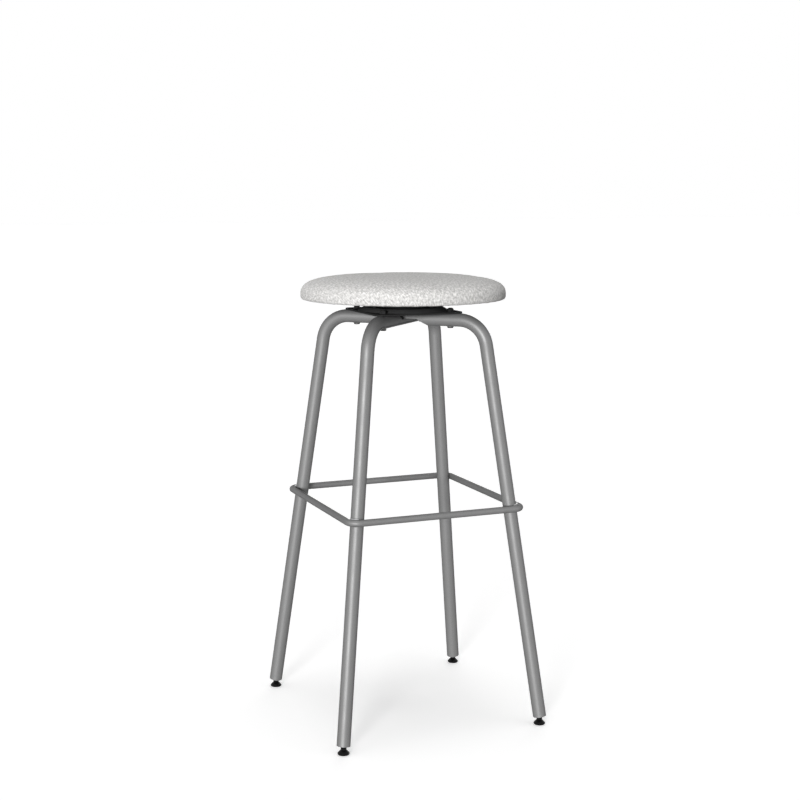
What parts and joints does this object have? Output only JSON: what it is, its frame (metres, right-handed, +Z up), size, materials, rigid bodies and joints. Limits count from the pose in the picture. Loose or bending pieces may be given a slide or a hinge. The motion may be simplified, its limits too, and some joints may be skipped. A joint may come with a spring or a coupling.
{
  "type": "swivel spectator stool",
  "caption": "Tall backless stool: round upholstered seat on a ball bearing swivel, crossed bent-tube legs, a square foot ring and tilting glides.",
  "frame": {"origin": "on the floor, at the middle of the four feet and under the middle of the seat", "axes": "+Z up along the swivel's axis; X and Y along the sides of the square foot ring, with the legs on the diagonals"},
  "size_m": [0.4276, 0.4276, 0.856],
  "materials": {
    "frame_coat": "satin silver-grey powder coat with a fine metallic fleck",
    "glide_plastic": "glossy black moulded plastic",
    "plate_coat": "satin black coat on pressed sheet",
    "black_steel": "black zinc plated fasteners",
    "bright_steel": "bright plated steel",
    "white_nylon": "natural nylon",
    "black_nylon": "black moulded nylon",
    "board_ply": "sanded birch plywood",
    "foam": "moulded polyurethane foam",
    "seat_fabric": "light grey woven upholstery with short flecks",
    "dust_cloth": "black non-woven cloth"
  },
  "bodies": {
    "frame": {"hoop_lower": "frame_coat", "hoop_upper": "frame_coat", "crossing_welds": "frame_coat", "foot_ring": "frame_coat", "ring_welds": "frame_coat", "glide_plug_front_left": "glide_plastic", "glide_plug_front_right": "glide_plastic", "glide_plug_back_right": "glide_plastic", "glide_plug_back_left": "glide_plastic", "hoop_bolts": "black_steel", "bolt_washers": "bright_steel", "lock_nuts": "black_steel", "base_plate": "plate_coat", "lower_race": "black_steel", "spindle": "bright_steel", "spacer_bush": "white_nylon", "thrust_washer": "white_nylon"},
    "cage": {"bearing_balls": "bright_steel", "ball_cage": "black_nylon"},
    "seat": {"upper_race": "black_steel", "seat_plate": "plate_coat", "seat_screws": "black_steel", "tee_nuts": "bright_steel", "seat_board": "board_ply", "seat_foam": "foam", "seat_cover": "seat_fabric", "dust_cover": "dust_cloth"},
    "foot_front_left": {"glide_foot_front_left": "glide_plastic"},
    "foot_front_right": {"glide_foot_front_right": "glide_plastic"},
    "foot_back_right": {"glide_foot_back_right": "glide_plastic"},
    "foot_back_left": {"glide_foot_back_left": "glide_plastic"}
  },
  "joints": [
    {"name": "seat_swivel", "type": "hinge", "parent": "frame", "child": "seat", "pos_m": [0, 0, 0.80163], "axis": [0, 0, 1], "continuous": true},
    {"name": "cage_spin", "type": "hinge", "parent": "frame", "child": "cage", "pos_m": [0, 0, 0.80163], "axis": [0, 0, 1], "continuous": true},
    {"name": "tilt_front_left", "type": "hinge", "parent": "frame", "child": "foot_front_left", "pos_m": [-0.20102, -0.20102, 0.01748], "axis": [0.7071, -0.7071, 0], "range_deg": [-28, 10]},
    {"name": "tilt_front_right", "type": "hinge", "parent": "frame", "child": "foot_front_right", "pos_m": [0.20102, -0.20102, 0.01748], "axis": [0.7071, 0.7071, 0], "range_deg": [-28, 10]},
    {"name": "tilt_back_right", "type": "hinge", "parent": "frame", "child": "foot_back_right", "pos_m": [0.20102, 0.20102, 0.01748], "axis": [-0.7071, 0.7071, 0], "range_deg": [-28, 10]},
    {"name": "tilt_back_left", "type": "hinge", "parent": "frame", "child": "foot_back_left", "pos_m": [-0.20102, 0.20102, 0.01748], "axis": [-0.7071, -0.7071, 0], "range_deg": [-28, 10]}
  ],
  "couplings": [
    {"joint": "cage_spin", "follows": "seat_swivel", "ratio": 0.5}
  ]
}
